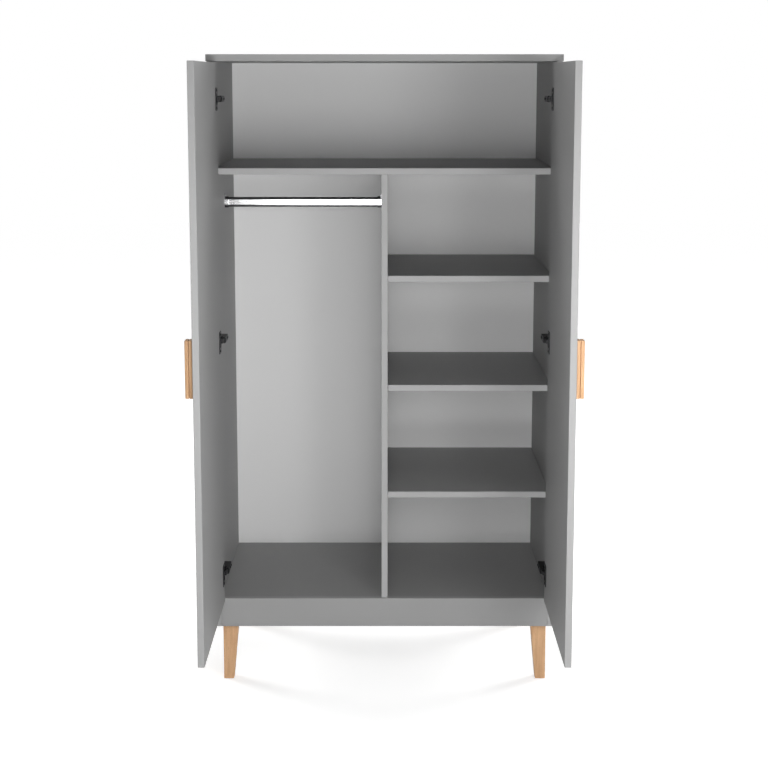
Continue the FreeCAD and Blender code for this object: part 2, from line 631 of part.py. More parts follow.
piece("plinth_front", cut(plank(plinth_at, (f"2 * {SIDE}", "board", "plinth_height")), dowels))
plinth_rear_at = (f"-{SIDE}", f"{BACK} - board", PLINTH_BOTTOM)
plinth_rear = plank(plinth_rear_at, (f"2 * {SIDE}", "board", "plinth_height - board"))
piece("plinth_rear", cut(plinth_rear, dowels))

# Back panel: three thin sheets whose seams lie behind the top shelf and the divider
seam = f"({TOP_SHELF} - board / 2)"
lower_rise = f"{seam} - {UNDER_BOTTOM}"
sheets = {
    "back_panel_upper": (f"-{BACK_EDGE}", seam, f"2 * {BACK_EDGE}", f"{UNDER_TOP} - {seam}"),
    "back_panel_left": (f"-{BACK_EDGE}", UNDER_BOTTOM, BACK_EDGE, lower_rise),
    "back_panel_right": ("0", UNDER_BOTTOM, BACK_EDGE, lower_rise),
}
for name, (x, z, wide, tall) in sheets.items():
    piece(name, cut(box((x, BACK, z), (wide, "back_thick", tall)), back_screws))

doc.recompute()
for thing in doc.Objects:
    if {"Invalid", "Error"} & set(thing.State):
        raise RuntimeError(f"{thing.Label} did not build")
for thing in pieces:
    if thing.Shape.isNull() or not thing.Shape.isValid():
        raise RuntimeError(f"{thing.Label} has no valid shape")

os.makedirs("parts", exist_ok=True)
for thing in pieces:
    thing.Shape.exportStep(f"parts/{thing.Label}.step")
    print(thing.Label, len(thing.Shape.Solids), "solids", round(thing.Shape.Volume), "mm3")
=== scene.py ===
import math

import bmesh
import bpy
from mathutils import Matrix, Vector


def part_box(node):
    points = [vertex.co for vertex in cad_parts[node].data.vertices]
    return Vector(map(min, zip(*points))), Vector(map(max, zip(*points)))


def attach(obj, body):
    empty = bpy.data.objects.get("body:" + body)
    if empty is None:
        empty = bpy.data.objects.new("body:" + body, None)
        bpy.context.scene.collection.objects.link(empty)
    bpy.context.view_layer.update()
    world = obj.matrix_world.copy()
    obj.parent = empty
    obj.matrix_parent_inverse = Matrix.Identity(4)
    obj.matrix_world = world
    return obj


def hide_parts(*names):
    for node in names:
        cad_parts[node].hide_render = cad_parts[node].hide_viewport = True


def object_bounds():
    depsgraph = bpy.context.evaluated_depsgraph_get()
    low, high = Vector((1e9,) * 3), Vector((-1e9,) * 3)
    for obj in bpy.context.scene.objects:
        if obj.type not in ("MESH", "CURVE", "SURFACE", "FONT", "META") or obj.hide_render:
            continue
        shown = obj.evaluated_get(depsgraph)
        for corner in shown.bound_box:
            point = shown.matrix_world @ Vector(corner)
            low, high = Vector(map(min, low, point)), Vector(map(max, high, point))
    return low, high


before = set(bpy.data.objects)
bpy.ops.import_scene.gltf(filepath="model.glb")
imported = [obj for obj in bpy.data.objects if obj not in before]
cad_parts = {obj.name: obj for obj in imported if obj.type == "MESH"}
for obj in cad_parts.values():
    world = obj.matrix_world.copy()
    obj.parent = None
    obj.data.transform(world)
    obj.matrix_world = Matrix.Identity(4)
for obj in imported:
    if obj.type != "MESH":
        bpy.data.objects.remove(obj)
cad_low, cad_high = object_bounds()


# Carcass boards: sides, top, bottom, top shelf, divider, loose shelves and plinths.
# Chipboard under matt grey melamine with a fine pearl texture, every edge closed with a rounded band,
# painted paler as a painted highlight.
# Dowels and cam fittings draw the boards together from inside, so their faces stay clean.
CARCASS_BOARDS = (
    "side_panel_left", "side_panel_right", "top_panel", "bottom_panel", "top_shelf", "divider",
    "shelf_upper", "shelf_middle", "shelf_lower", "plinth_front", "plinth_rear",
)
FACE_GREY = 0.35
PLINTH_PAINTED_LIGHT_GREY = 0.36
BAND_PAINTED_LIGHT_GREY = 0.43
BAND_SPAN = (0.0002, 0.001)
CLOUD_SPREAD = 0.02
CLOUDS = {"scale": 5, "detail": 3, "roughness": 0.55}
PEARLS = {"scale": 700}
PEARL_BUMP = {"strength": 0.06, "distance": 0.0004}
NOISE_SPAN = (0.3, 0.7)
BOARD_ROUGHNESS = (0.52, 0.62)
BOARD_SPECULAR = 0.12
BOARD_STEP = (0.37, 0.61, 0.23)


def add(tree, kind, **values):
    """A shader node, with its inputs set by their names."""
    made = tree.nodes.new("ShaderNode" + kind)
    for name, value in values.items():
        made.inputs[name.replace("_", " ")].default_value = value
    return made


def feed(tree, place, value):
    """Link a socket into an input, or set the input to a plain value."""
    if isinstance(value, bpy.types.NodeSocket):
        tree.links.new(value, place)
    else:
        place.default_value = value


def reckon(tree, operation, *values):
    """A sum on sockets or numbers."""
    made = add(tree, "Math")
    made.operation = operation
    for place, value in zip(made.inputs, values):
        feed(tree, place, value)
    return made.outputs[0]


def reckon_points(tree, operation, *values):
    """A sum on points; a dot product gives a value."""
    made = add(tree, "VectorMath")
    made.operation = operation
    for place, value in zip(made.inputs, values):
        feed(tree, place, value)
    return made.outputs["Value" if operation == "DOT_PRODUCT" else "Vector"]


def spread(tree, value, span, to=(0, 1)):
    """A value stretched from one span to another and held at its ends."""
    made = add(tree, "MapRange", From_Min=span[0], From_Max=span[1], To_Min=to[0], To_Max=to[1])
    tree.links.new(value, made.inputs["Value"])
    return made.outputs["Result"]


def between(tree, mask, first, second):
    """A colour that goes from the first to the second as the mask rises."""
    made = add(tree, "Mix")
    made.data_type = "RGBA"
    tree.links.new(mask, made.inputs["Factor"])
    for name, colour in zip("AB", (first, second)):
        place = next(s for s in made.inputs if s.name == name and s.type == "RGBA")
        feed(tree, place, colour if isinstance(colour, bpy.types.NodeSocket) else (*colour, 1))
    return next(s for s in made.outputs if s.type == "RGBA")


def two_greys(level, share):
    """A grey that is a share darker than a level, and one that is a share lighter."""
    return [(level * (1 + sign * share),) * 3 for sign in (-1, 1)]


def noise(tree, points, scale, detail=2.0, roughness=0.5, distortion=0.0):
    """Cloudy noise at a number of lumps to the metre."""
    made = add(tree, "TexNoise", Scale=scale, Detail=detail, Roughness=roughness, Distortion=distortion)
    tree.links.new(points, made.inputs["Vector"])
    return made.outputs["Fac"]


def place_on_piece(tree):
    """The point's place in the wardrobe, which doesn't slide when a body moves."""
    return add(tree, "TexCoord").outputs["Object"]


def new_group(name, inputs, outputs):
    """An empty shader node group that takes points and gives values, all by their names."""
    tree = bpy.data.node_groups.new(name, "ShaderNodeTree")
    for socket in inputs:
        tree.interface.new_socket(socket, in_out="INPUT", socket_type="NodeSocketVector")
    for socket in outputs:
        tree.interface.new_socket(socket, in_out="OUTPUT", socket_type="NodeSocketFloat")
    return tree, tree.nodes.new("NodeGroupInput"), tree.nodes.new("NodeGroupOutput")


def use_group(tree, group, **values):
    """A node group placed in a material, with its inputs set by their names."""
    made = add(tree, "Group")
    made.node_tree = group
    for name, value in values.items():
        made.inputs[name].default_value = value
    return made


def new_finish(name):
    """A new material, its node tree and its shader."""
    made = bpy.data.materials.new(name)
    made.use_nodes = True
    return made, made.node_tree, made.node_tree.nodes["Principled BSDF"]


def coat(tree, shader, colour, roughness, specular):
    """The shader's colour and roughness from sockets, and its plain gloss."""
    tree.links.new(colour, shader.inputs["Base Color"])
    tree.links.new(roughness, shader.inputs["Roughness"])
    shader.inputs["Specular IOR Level"].default_value = specular


def roughen(tree, shader, height, strength, distance):
    """Small bumps on the shader's surface."""
    bump = add(tree, "Bump", Strength=strength, Distance=distance)
    tree.links.new(height, bump.inputs["Height"])
    tree.links.new(bump.outputs["Normal"], shader.inputs["Normal"])


def dress(node, material):
    """Give a node of the frame its finish."""
    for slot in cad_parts[node].material_slots:
        slot.material = material


board_skin, skin_in, skin_out = new_group(
    "board_skin", ("Shift", "Low", "High", "Thin"), ("Cloud", "Pearl", "Band"))
on_board = place_on_piece(board_skin)
moved = reckon_points(board_skin, "ADD", on_board, skin_in.outputs["Shift"])
board_skin.links.new(noise(board_skin, moved, **CLOUDS), skin_out.inputs["Cloud"])
board_skin.links.new(noise(board_skin, moved, **PEARLS), skin_out.inputs["Pearl"])
above_low = reckon_points(board_skin, "SUBTRACT", on_board, skin_in.outputs["Low"])
below_high = reckon_points(board_skin, "SUBTRACT", skin_in.outputs["High"], on_board)
nearest = reckon_points(board_skin, "MINIMUM", above_low, below_high)
under_face = reckon_points(board_skin, "DOT_PRODUCT", nearest, skin_in.outputs["Thin"])
board_skin.links.new(spread(board_skin, under_face, BAND_SPAN), skin_out.inputs["Band"])


def grey_board(node, number, face_grey=FACE_GREY):
    """Grey melamine for one board, with its own stretch of the pattern and bands on its narrow faces."""
    low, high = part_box(node)
    spans = high - low
    thin = [float(span == min(spans)) for span in spans]
    shift = [number * step for step in BOARD_STEP]
    made, tree, shader = new_finish(f"grey_board_{node}")
    skin = use_group(tree, board_skin, Shift=shift, Low=low, High=high, Thin=thin)
    face = between(tree, skin.outputs["Cloud"], *two_greys(face_grey, CLOUD_SPREAD))
    # The bands are painted paler than the faces: a painted highlight along every narrow face of the board.
    coat(tree, shader, between(tree, skin.outputs["Band"], face, (BAND_PAINTED_LIGHT_GREY,) * 3),
         spread(tree, skin.outputs["Pearl"], NOISE_SPAN, BOARD_ROUGHNESS), BOARD_SPECULAR)
    roughen(tree, shader, skin.outputs["Pearl"], **PEARL_BUMP)
    dress(node, made)


# The plinth front is painted a little paler than the other boards: painted light.
for number, node in enumerate(CARCASS_BOARDS):
    grey_board(node, number, PLINTH_PAINTED_LIGHT_GREY if node == "plinth_front" else FACE_GREY)


# Back panel: three sheets of 3 mm fibreboard in the rebates of the sides, their seams behind the boards.
# The side that faces in is painted pale grey.
# The side that faces the wall is raw and brown, with loose fibres.
BACK_SHEETS = ("back_panel_upper", "back_panel_left", "back_panel_right")
BACK_GREY = 0.85
PAINT_SPREAD = 0.015
PAINT_CLOUDS = {"scale": 4, "detail": 3}
PAINT_END = 0.0006
RAW_START = 0.0009
FIBRE_DARK = (0.165, 0.105, 0.062)
FIBRE_LIGHT = (0.26, 0.17, 0.105)
FIBRE_SPAN = (0.35, 0.65)
FELT = {"scale": 420, "detail": 4, "roughness": 0.6}
FELT_BUMP = {"strength": 0.08, "distance": 0.0004}
STRANDS = {"scale": 95, "detail": 5, "roughness": 0.7, "distortion": 0.8}
STRAND_STRETCH = (1, 1, 0.35)
PAINT_TO_RAW_ROUGHNESS = (0.55, 0.85)
BACK_SPECULAR = 0.15
SHEET_STEP = (0.41, 0, 0.29)
for number, node in enumerate(BACK_SHEETS):
    low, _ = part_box(node)
    made, tree, shader = new_finish(f"fibreboard_{node}")
    on_sheet = place_on_piece(tree)
    points = reckon_points(tree, "ADD", on_sheet, [number * step for step in SHEET_STEP])
    paint = between(tree, noise(tree, points, **PAINT_CLOUDS), *two_greys(BACK_GREY, PAINT_SPREAD))
    felt = noise(tree, points, **FELT)
    strands = noise(tree, reckon_points(tree, "MULTIPLY", points, STRAND_STRETCH), **STRANDS)
    half_and_half = reckon(tree, "MULTIPLY", reckon(tree, "ADD", felt, strands), 0.5)
    fibre = between(tree, spread(tree, half_and_half, FIBRE_SPAN), FIBRE_DARK, FIBRE_LIGHT)
    depth = reckon_points(tree, "DOT_PRODUCT", on_sheet, (0, 1, 0))
    raw = spread(tree, depth, (low.y + PAINT_END, low.y + RAW_START))
    coat(tree, shader, between(tree, raw, paint, fibre),
         spread(tree, raw, (0, 1), PAINT_TO_RAW_ROUGHNESS), BACK_SPECULAR)
    roughen(tree, shader, felt, **FELT_BUMP)
    dress(node, made)


# Back panel screws: short zinc-plated steel screws, driven flush through the sheets into the boards' edges.
# Each has a cross slot, and no two slots stop at the same angle.
ZINC_DARK = (0.40, 0.41, 0.43)
ZINC_LIGHT = (0.62, 0.63, 0.65)
ZINC_ROUGHNESS = (0.28, 0.45)
ZINC_BUMPS = 0.05
TARNISH = {"scale": 60, "detail": 3}
SCUFFS = {"scale": 900, "detail": 3, "roughness": 0.6}
SCUFF_SPAN = (0.25, 0.75)
SCUFF_DEPTH = 0.0002
METAL_SPECULAR = 0.5
ENAMEL_SPECULAR = 0.12
BACK_HEAD_RADIUS = 0.0034
BACK_HEAD_RISE = 0.0016
BACK_SHANK_RADIUS = 0.0015
CROSS_SHARE = 0.62
CROSS_DEPTH_SHARE = 0.55
CROSS_TAPER_SHARE = 0.6
RIM_SHARE = 0.9
RIM_DROP_SHARE = 0.12
POINT_SHARE = 0.25
ROUND_SIDES = 24
SLOT_TURN = 2.4
WELD = 0.000001
SHARP_ANGLE = math.radians(32)
metal_skin, _, metal_out = new_group("metal_skin", (), ("Tarnish_and_reflection", "Scuff"))
on_metal = place_on_piece(metal_skin)
metal_skin.links.new(noise(metal_skin, on_metal, **TARNISH), metal_out.inputs["Tarnish_and_reflection"])
metal_skin.links.new(noise(metal_skin, on_metal, **SCUFFS), metal_out.inputs["Scuff"])


def metal(name, dark, light, roughness, bumps, metallic=1):
    """Plated or enamelled metal whose colour and gloss wander a little."""
    made, tree, shader = new_finish(name)
    skin = use_group(tree, metal_skin)
    coat(tree, shader, between(tree, skin.outputs["Tarnish_and_reflection"], dark, light),
         spread(tree, skin.outputs["Scuff"], SCUFF_SPAN, roughness),
         METAL_SPECULAR if metallic else ENAMEL_SPECULAR)
    shader.inputs["Metallic"].default_value = metallic
    roughen(tree, shader, skin.outputs["Scuff"], bumps, SCUFF_DEPTH)
    return made


def moved_points(made):
    """The points among what an operator made."""
    return [thing for thing in made["geom"] if isinstance(thing, bmesh.types.BMVert)]


def draw_down(shape, rim, radius, steps):
    """A round rim drawn down through (radius, depth) steps and closed at its end."""
    depth = 0
    for next_radius, next_depth in steps:
        made = bmesh.ops.extrude_edge_only(shape, edges=rim)
        points = moved_points(made)
        bmesh.ops.scale(shape, verts=points, vec=(next_radius / radius, next_radius / radius, 1))
        bmesh.ops.translate(shape, verts=points, vec=(0, 0, depth - next_depth))
        edges = [thing for thing in made["geom"] if isinstance(thing, bmesh.types.BMEdge)]
        rim = [edge for edge in edges if edge.is_boundary]
        radius, depth = next_radius, next_depth
    bmesh.ops.holes_fill(shape, edges=rim, sides=0)


def cross_headed(head_radius, head_rise, steps):
    """A fastener that points down from the middle of its head, with a cross slot in the head."""
    shape = bmesh.new()
    bmesh.ops.create_grid(shape, x_segments=3, y_segments=3, size=head_radius * CROSS_SHARE)
    middle = head_radius * CROSS_SHARE / 3
    corners = [face for face in shape.faces if min(map(abs, face.calc_center_median().xy)) > middle]
    bmesh.ops.delete(shape, geom=corners, context="FACES")
    cross = list(shape.faces)
    cross_edge = [edge for edge in shape.edges if edge.is_boundary]
    bmesh.ops.create_circle(shape, segments=ROUND_SIDES, radius=head_radius * RIM_SHARE)
    rim = [edge for edge in shape.edges if edge.is_wire]
    bmesh.ops.bridge_loops(shape, edges=cross_edge + rim)
    slot_floor = moved_points(bmesh.ops.extrude_face_region(shape, geom=cross))
    bmesh.ops.translate(shape, verts=slot_floor, vec=(0, 0, -head_rise * CROSS_DEPTH_SHARE))
    bmesh.ops.scale(shape, verts=slot_floor, vec=(CROSS_TAPER_SHARE, CROSS_TAPER_SHARE, 1))
    shoulder = [(head_radius, head_rise * RIM_DROP_SHARE), (head_radius, head_rise)]
    draw_down(shape, rim, head_radius * RIM_SHARE, shoulder + steps)
    bmesh.ops.recalc_face_normals(shape, faces=shape.faces)
    return shape


def screw_shape(head_radius, head_rise, shank_radius, length):
    """A screw with a plain shank and a blunt point."""
    point = length - 2 * shank_radius
    shank = [(shank_radius, head_rise), (shank_radius, point), (shank_radius * POINT_SHARE, length)]
    return cross_headed(head_radius, head_rise, shank)


def separate_boxes(node):
    """The low and high corner of each separate solid of a node of the frame."""
    copy = bmesh.new()
    copy.from_mesh(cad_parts[node].data)
    bmesh.ops.remove_doubles(copy, verts=copy.verts, dist=WELD)
    left = set(copy.verts)
    boxes = []
    while left:
        to_visit = [left.pop()]
        solid = []
        while to_visit:
            point = to_visit.pop()
            solid.append(point.co.copy())
            found = {edge.other_vert(point) for edge in point.link_edges} & left
            left -= found
            to_visit += found
        boxes.append(tuple(Vector(side(c[i] for c in solid) for i in range(3)) for side in (min, max)))
    copy.free()
    return sorted(boxes, key=lambda corners: tuple(corners[0]))


def span_along(node, axis):
    """The length of a node's first solid along an axis."""
    low, high = separate_boxes(node)[0]
    return (high - low)[axis]


def join(shapes):
    """One shape out of many, which are used up."""
    whole = bmesh.new()
    for shape in shapes:
        mesh = bpy.data.meshes.new("joined")
        shape.to_mesh(mesh)
        shape.free()
        whole.from_mesh(mesh)
        bpy.data.meshes.remove(mesh)
    return whole


def at_each(node, shape, way):
    """A copy of a shape at each solid of a node, its top on the solid's end that faces a way."""
    turn = Vector((0, 0, 1)).rotation_difference(Vector(way)).to_matrix().to_4x4()
    copies = []
    for number, (low, high) in enumerate(separate_boxes(node)):
        end = [(a + b) / 2 + w * (b - a) / 2 for a, b, w in zip(low, high, way)]
        spot = Matrix.Translation(end) @ turn @ Matrix.Rotation(number * SLOT_TURN, 4, "Z")
        copies.append(shape.copy())
        bmesh.ops.transform(copies[-1], matrix=spot, verts=copies[-1].verts)
    shape.free()
    return join(copies)


def new_piece(name, shape, material, body, slot, *nodes):
    """A finished piece that rides a body and stands for nodes of the frame."""
    mesh = bpy.data.meshes.new(name)
    shape.to_mesh(mesh)
    shape.free()
    mesh.shade_smooth()
    mesh.set_sharp_from_angle(angle=SHARP_ANGLE)
    mesh.materials.append(material)
    made = bpy.data.objects.new(name, mesh)
    bpy.context.scene.collection.objects.link(made)
    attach(made, body)
    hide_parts(*nodes)


zinc = metal("zinc_plate", ZINC_DARK, ZINC_LIGHT, ZINC_ROUGHNESS, ZINC_BUMPS)
back_length = span_along("back_panel_screws", 1)
back_screw = screw_shape(BACK_HEAD_RADIUS, BACK_HEAD_RISE, BACK_SHANK_RADIUS, back_length)
new_piece("back_screws", at_each("back_panel_screws", back_screw, (0, 1, 0)), zinc,
          "cabinet", "zinc_steel", "back_panel_screws")


# Dowels: plain beech pegs, glued across every joint of the carcass and shut in by the boards.
# Beech is pale and even, with short dark flecks along the grain; here it is left dry.
BEECH_DARK = (0.56, 0.325, 0.172)
BEECH_LIGHT = (0.71, 0.445, 0.252)
BEECH_FLECK = (0.43, 0.235, 0.12)
BEECH_SPECULAR = 0.3
RINGS = {"scale": 130, "detail": 3, "roughness": 0.6, "distortion": 0.4}
RING_STRETCH = 0.06
FLECKS = {"scale": 900, "detail": 1}
FLECK_STRETCH = 0.16
FLECK_SPAN = (0.62, 0.72)
FLECK_SHARE = 0.45
PORES = {"scale": 1500}
PORE_STRETCH = 0.05
PORE_BUMP = {"strength": 0.12, "distance": 0.0003}
PLANK_STEP = (0.173, 0.091, 0.307)
DRY_ROUGHNESS = (0.7, 0.85)
DOWEL_PLANK = 6
beech_grain, grain_in, grain_out = new_group("beech_grain", ("Shift",), ("Ring", "Fleck", "Pore"))
in_plank = reckon_points(beech_grain, "ADD", place_on_piece(beech_grain), grain_in.outputs["Shift"])


def along_grain(stretch, pattern):
    """Noise drawn out up the grain."""
    drawn_out = reckon_points(beech_grain, "MULTIPLY", in_plank, (1, 1, stretch))
    return noise(beech_grain, drawn_out, **pattern)


def beech(name, number, roughness, painted_light_and_tone=1.0):
    """Beech from its own place and plank, its colour scaled by a factor that carries painted light as well
    as the wood's own colour, its gloss set by how it is treated.
    """
    made, tree, shader = new_finish(name)
    grain = use_group(tree, beech_grain, Shift=[number * step for step in PLANK_STEP])
    dark, light = ([part * painted_light_and_tone for part in colour] for colour in (BEECH_DARK, BEECH_LIGHT))
    ring = between(tree, spread(tree, grain.outputs["Ring"], NOISE_SPAN), dark, light)
    fleck = reckon(tree, "MULTIPLY", grain.outputs["Fleck"], FLECK_SHARE)
    coat(tree, shader, between(tree, fleck, ring, BEECH_FLECK),
         spread(tree, grain.outputs["Pore"], NOISE_SPAN, roughness), BEECH_SPECULAR)
    roughen(tree, shader, grain.outputs["Pore"], **PORE_BUMP)
    return made


beech_grain.links.new(along_grain(RING_STRETCH, RINGS), grain_out.inputs["Ring"])
flecks = spread(beech_grain, along_grain(FLECK_STRETCH, FLECKS), FLECK_SPAN)
beech_grain.links.new(flecks, grain_out.inputs["Fleck"])
beech_grain.links.new(along_grain(PORE_STRETCH, PORES), grain_out.inputs["Pore"])
dress("wood_dowels", beech("dry_beech", DOWEL_PLANK, DRY_ROUGHNESS))


# Cam fittings: round zinc locks, let into the undersides of the top shelf and the bottom.
# A turn of the cross slot hooks the lock on a steel bolt and pulls the side tight.
CAM_RADIUS = 0.0075
CAM_RIM = 0.0022
cam_lock = cross_headed(CAM_RADIUS, CAM_RIM, [(CAM_RADIUS, span_along("cam_locks", 2))])
new_piece("cam_faces", at_each("cam_locks", cam_lock, (0, 0, -1)), zinc,
          "cabinet", "zinc_steel", "cam_locks")
dress("cam_bolts", zinc)


# Shelf pins: turned steel pegs, pushed into the divider and the right side under the loose shelves.
# A thin collar stops each one at the board, in the play beside the shelf.
PIN_RADIUS = 0.0025
PIN_OUT = 0.009
PIN_COLLAR_RADIUS = 0.0038
PIN_COLLAR = 0.0007
PIN_ROUND = 0.0006
pin_length = span_along("shelf_pins", 0)


def pin_shape(low, high):
    """A peg in a box of the frame, rounded at its ends, with a collar where it enters the board."""
    shape = bmesh.new()
    bmesh.ops.create_circle(shape, segments=ROUND_SIDES, radius=PIN_RADIUS - PIN_ROUND, cap_ends=True)
    rim = [edge for edge in shape.edges if edge.is_boundary]
    collar_start = PIN_OUT - PIN_COLLAR
    draw_down(shape, rim, PIN_RADIUS - PIN_ROUND, [
        (PIN_RADIUS, PIN_ROUND), (PIN_RADIUS, collar_start), (PIN_COLLAR_RADIUS, collar_start),
        (PIN_COLLAR_RADIUS, PIN_OUT), (PIN_RADIUS, PIN_OUT), (PIN_RADIUS, pin_length - PIN_ROUND),
        (PIN_RADIUS - PIN_ROUND, pin_length)])
    bmesh.ops.recalc_face_normals(shape, faces=shape.faces)
    in_divider = low.x < (cad_low.x + cad_high.x) / 2 + PIN_OUT
    head = Vector((high.x if in_divider else low.x, (low.y + high.y) / 2, (low.z + high.z) / 2))
    turn = Matrix.Rotation(math.pi / 2 if in_divider else -math.pi / 2, 4, "Y")
    bmesh.ops.transform(shape, matrix=Matrix.Translation(head) @ turn, verts=shape.verts)
    return shape


pins = join(pin_shape(low, high) for low, high in separate_boxes("shelf_pins"))
new_piece("shelf_pegs", pins, zinc, "cabinet", "zinc_steel", "shelf_pins")


# Legs: solid beech, square at the head, tapered on the two sides that face in, their edges eased.
# The grain runs up the leg under a clear matt oil.
# Each leg's factor on the beech colour is painted light, set for how that leg is lit, and also varies the
# wood between legs.
LEG_PAINTED_LIGHT_AND_TONES = {"front_left": 1.14, "front_right": 1.04, "rear_left": 1.06, "rear_right": 1.1}
OILED_ROUGHNESS = (0.45, 0.58)
for number, (corner, painted_light_and_tone) in enumerate(LEG_PAINTED_LIGHT_AND_TONES.items()):
    dress(f"leg_{corner}", beech(f"oiled_beech_leg_{corner}", number, OILED_ROUGHNESS, painted_light_and_tone))


# Leg plates: pressed steel under the bottom board, each with a hanger bolt into its leg.
# Three pan-head screws hold each plate, and all of it is zinc plated.
LEG_HEAD_RADIUS = 0.004
LEG_HEAD_RISE = 0.002
LEG_SHANK_RADIUS = 0.002
dress("leg_plates", zinc)
dress("leg_bolts", zinc)
leg_length = span_along("leg_plate_screws", 2)
leg_screw = screw_shape(LEG_HEAD_RADIUS, LEG_HEAD_RISE, LEG_SHANK_RADIUS, leg_length)
new_piece("leg_screws", at_each("leg_plate_screws", leg_screw, (0, 0, -1)), zinc,
          "cabinet", "zinc_steel", "leg_plate_screws")


# Hanging rail: an oval steel tube, chromed, bright on its flats, with a painted dark reflection on its
# rounded top and bottom edges.
# Its ends are pushed into cast sockets, chromed alike, and a screw through the tab above holds each socket.
RAIL_BRIGHT = (0.86, 0.86, 0.87)
RAIL_PAINTED_DARK_REFLECTION = (0.12, 0.12, 0.125)
RAIL_FLAT_END = 0.00627
RAIL_ROUND_START = 0.00825
RAIL_REFLECTION_WANDER = (0.92, 1)
RAIL_ROUGHNESS = (0.14, 0.19)
rail_low, rail_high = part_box("hanging_rail")
chrome, tree, shader = new_finish("chrome")
skin = use_group(tree, metal_skin)
# Painted reflection: away from the rail's axis, on its rounds, the colour goes dark, a little unevenly; the
# sockets take the same painted dark by their height.
height = reckon_points(tree, "DOT_PRODUCT", place_on_piece(tree), (0, 0, 1))
off_axis = reckon(tree, "ABSOLUTE", reckon(tree, "SUBTRACT", height, (rail_low.z + rail_high.z) / 2))
rounds = spread(tree, off_axis, (RAIL_FLAT_END, RAIL_ROUND_START))
painted_reflection_mask = reckon(tree, "MULTIPLY", rounds, spread(tree, skin.outputs["Tarnish_and_reflection"], NOISE_SPAN, RAIL_REFLECTION_WANDER))
coat(tree, shader, between(tree, painted_reflection_mask, RAIL_BRIGHT, RAIL_PAINTED_DARK_REFLECTION),
     spread(tree, skin.outputs["Scuff"], SCUFF_SPAN, RAIL_ROUGHNESS), METAL_SPECULAR)
shader.inputs["Metallic"].default_value = 1
for node in ("hanging_rail", "rail_support_left", "rail_support_right"):
    dress(node, chrome)
dress("rail_support_screws", zinc)


# Doors: the same board as the carcass, banded on all four edges and bored for the hinge cups.
# Each hangs on three hinges and closes over the front edges of the carcass.
for number, node in enumerate(("door_left", "door_right"), start=len(CARCASS_BOARDS)):
    grey_board(node, number)


# Handles: beech bars by the doors' free edges, with a narrow saw groove along both long sides.
# The outer face has a fine chamfer, and every arris is eased with sandpaper before the oil goes on.
# The handles' factors on the beech colour are painted light: the left handle is painted darker, the right
# one lighter.
HANDLE_PAINTED_LIGHT = {"left": 0.88, "right": 1.14}
OUTWARD = {"left": -1, "right": 1}
GROOVE_WIDTH = 0.0022
GROOVE_DEPTH = 0.006
HANDLE_CHAMFER = 0.001
HANDLE_EASE = 0.0003
ARRIS_ANGLE = math.radians(40)


def handle_shape(node, outward):
    """A grooved bar where the frame has one, its outer face the way that is given."""
    low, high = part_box(node)
    left, right = ((low.x + high.x) / 2 + side * GROOVE_WIDTH / 2 for side in (-1, 1))
    near, far = low.y + GROOVE_DEPTH, high.y - GROOVE_DEPTH
    outline = [
        low.xy, (left, low.y), (left, near), (right, near), (right, low.y), (high.x, low.y),
        high.xy, (right, high.y), (right, far), (left, far), (left, high.y), (low.x, high.y)]
    shape = bmesh.new()
    end = shape.faces.new([shape.verts.new((x, y, low.z)) for x, y in outline])
    top = moved_points(bmesh.ops.extrude_face_region(shape, geom=[end]))
    bmesh.ops.translate(shape, verts=top, vec=(0, 0, high.z - low.z))
    bmesh.ops.recalc_face_normals(shape, faces=shape.faces)
    outer = high.x if outward > 0 else low.x
    outer_face = next(f for f in shape.faces if abs(f.calc_center_median().x - outer) < HANDLE_EASE)
    bmesh.ops.bevel(shape, geom=list(outer_face.edges), offset=HANDLE_CHAMFER, segments=1, profile=0.5,
                    affect="EDGES", material=-1)
    arrises = [edge for edge in shape.edges if edge.is_convex and edge.calc_face_angle(0) > ARRIS_ANGLE]
    bmesh.ops.bevel(shape, geom=arrises, offset=HANDLE_EASE, segments=2, profile=0.5,
                    affect="EDGES", material=-1, clamp_overlap=True)
    return shape


for number, (hand, painted_light_and_tone) in enumerate(HANDLE_PAINTED_LIGHT.items(), start=len(LEG_PAINTED_LIGHT_AND_TONES)):
    node = f"handle_{hand}"
    oiled = beech(f"oiled_beech_{node}", number, OILED_ROUGHNESS, painted_light_and_tone)
    new_piece(f"grip_{hand}", handle_shape(node, OUTWARD[hand]), oiled, f"door_{hand}", "beech", node)


# Handle screws: two to a handle, driven from inside the door with their heads flush in its face.
# Steel with a cross slot, enamelled in the grey of the board so that the heads hardly show.
HANDLE_HEAD_RADIUS = 0.0038
HANDLE_HEAD_RISE = 0.0024
HANDLE_SHANK_RADIUS = 0.002
ENAMEL_SPREAD = 0.02
ENAMEL_ROUGHNESS = (0.5, 0.6)
ENAMEL_BUMPS = 0.02
grey_enamel = metal("grey_enamel", *two_greys(FACE_GREY, ENAMEL_SPREAD), ENAMEL_ROUGHNESS, ENAMEL_BUMPS,
                    metallic=0)
for hand, outward in OUTWARD.items():
    node = f"handle_screws_{hand}"
    length = span_along(node, 0)
    handle_screw = screw_shape(HANDLE_HEAD_RADIUS, HANDLE_HEAD_RISE, HANDLE_SHANK_RADIUS, length)
    new_piece(f"grip_screws_{hand}", at_each(node, handle_screw, (-outward, 0, 0)), grey_enamel,
              f"door_{hand}", "zinc_steel", node)


